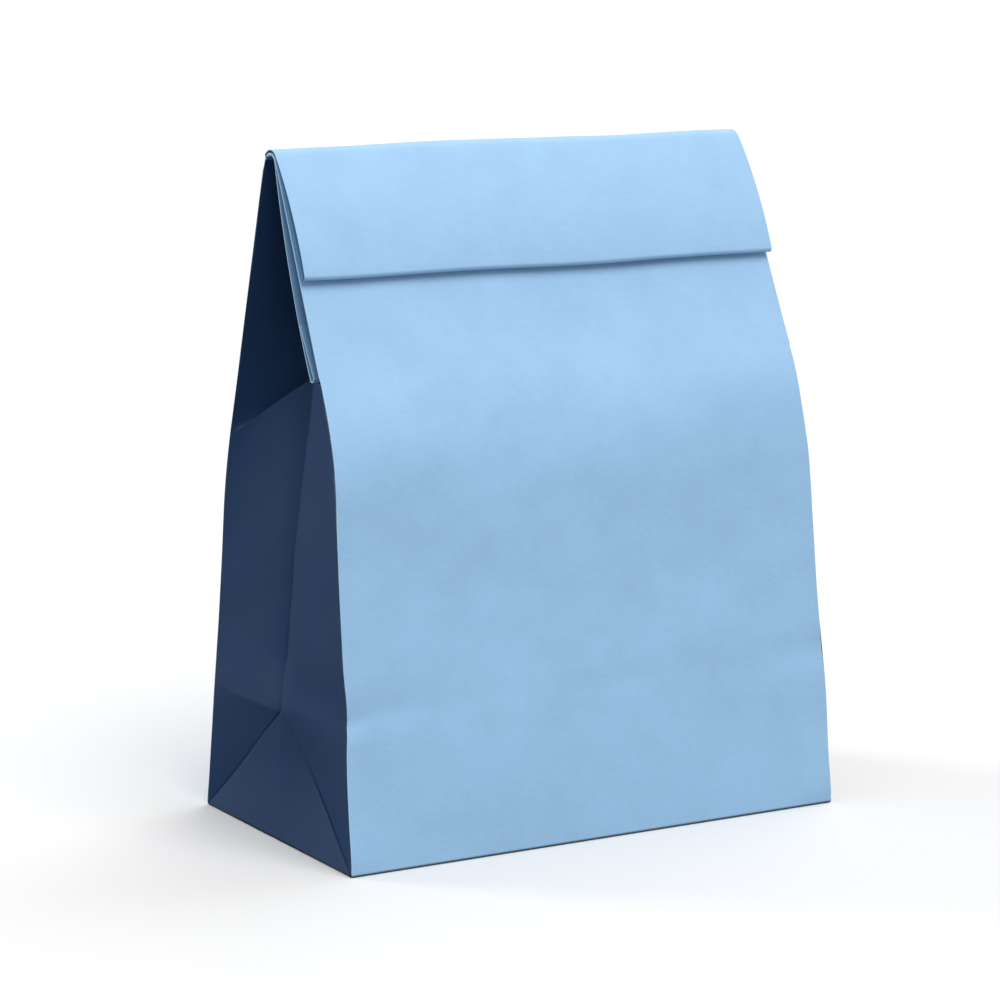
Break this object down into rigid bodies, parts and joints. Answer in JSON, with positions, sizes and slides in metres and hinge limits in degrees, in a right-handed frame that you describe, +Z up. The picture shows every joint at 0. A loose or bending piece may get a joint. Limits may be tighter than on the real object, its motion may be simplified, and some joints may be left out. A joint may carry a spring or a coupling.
{
  "type": "paper lunch bag",
  "caption": "Block-bottom paper lunch bag with pleated side gussets, standing, its top folded over the ridge into a front flap.",
  "frame": {"origin": "middle of the base, on the surface that the bag stands on", "axes": "+Z up, -Y out of the front panel that the flap folds over, +X to the right seen from the front"},
  "size_m": [0.152, 0.0856, 0.1849],
  "materials": {
    "printed_paper": "matt printed bag paper, light blue front, back, base and flap, navy blue side gussets"
  },
  "bodies": {
    "root": {"paper_bag": "printed_paper"}
  },
  "joints": []
}
